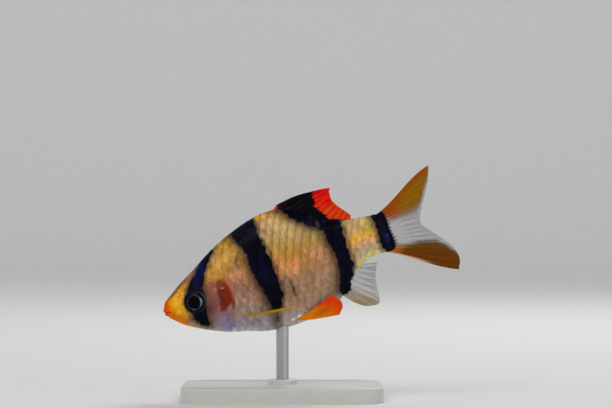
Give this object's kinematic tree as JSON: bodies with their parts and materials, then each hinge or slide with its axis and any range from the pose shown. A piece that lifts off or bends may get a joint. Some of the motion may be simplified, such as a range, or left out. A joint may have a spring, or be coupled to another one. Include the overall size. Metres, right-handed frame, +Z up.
{
  "type": "tiger barb",
  "caption": "Life-size still model of a tiger barb, a small banded aquarium fish, swimming head down, held over a flat base by one short rod.",
  "frame": {"origin": "centre of the underside of the stand's base", "axes": "+Z up; the fish faces -X with its left side to -Y, head down by 20 degrees; +Y across the fish"},
  "size_m": [0.0594, 0.026, 0.0468],
  "materials": {
    "skin": "wet scaled skin, beige and gold with four blue-black bars, orange snout",
    "eye": "glossy black eye with a thin silver ring round the pupil",
    "dorsal_fin": "black at the base, red to orange at the edge",
    "anal_fin": "clear grey membrane with pale rays, dull yellow at the front",
    "caudal_fin": "amber lobes and a clear grey middle",
    "pectoral_fin": "clear yellow membrane with a dark orange first ray",
    "pelvic_fin": "orange-yellow at the root, orange-red at the tip",
    "stand_base": "satin pale grey paint",
    "stand_rod": "brushed"
  },
  "bodies": {
    "root": {"head": "skin", "gill_cover_left": "skin", "gill_cover_right": "skin", "eye_left": "eye", "eye_right": "eye", "trunk": "skin", "tail_stalk": "skin", "dorsal_fin": "dorsal_fin", "anal_fin": "anal_fin", "caudal_fin": "caudal_fin", "pectoral_fin_left": "pectoral_fin", "pectoral_fin_right": "pectoral_fin", "pelvic_fin_left": "pelvic_fin", "pelvic_fin_right": "pelvic_fin", "stand_base": "stand_base", "stand_rod": "stand_rod"}
  },
  "joints": []
}
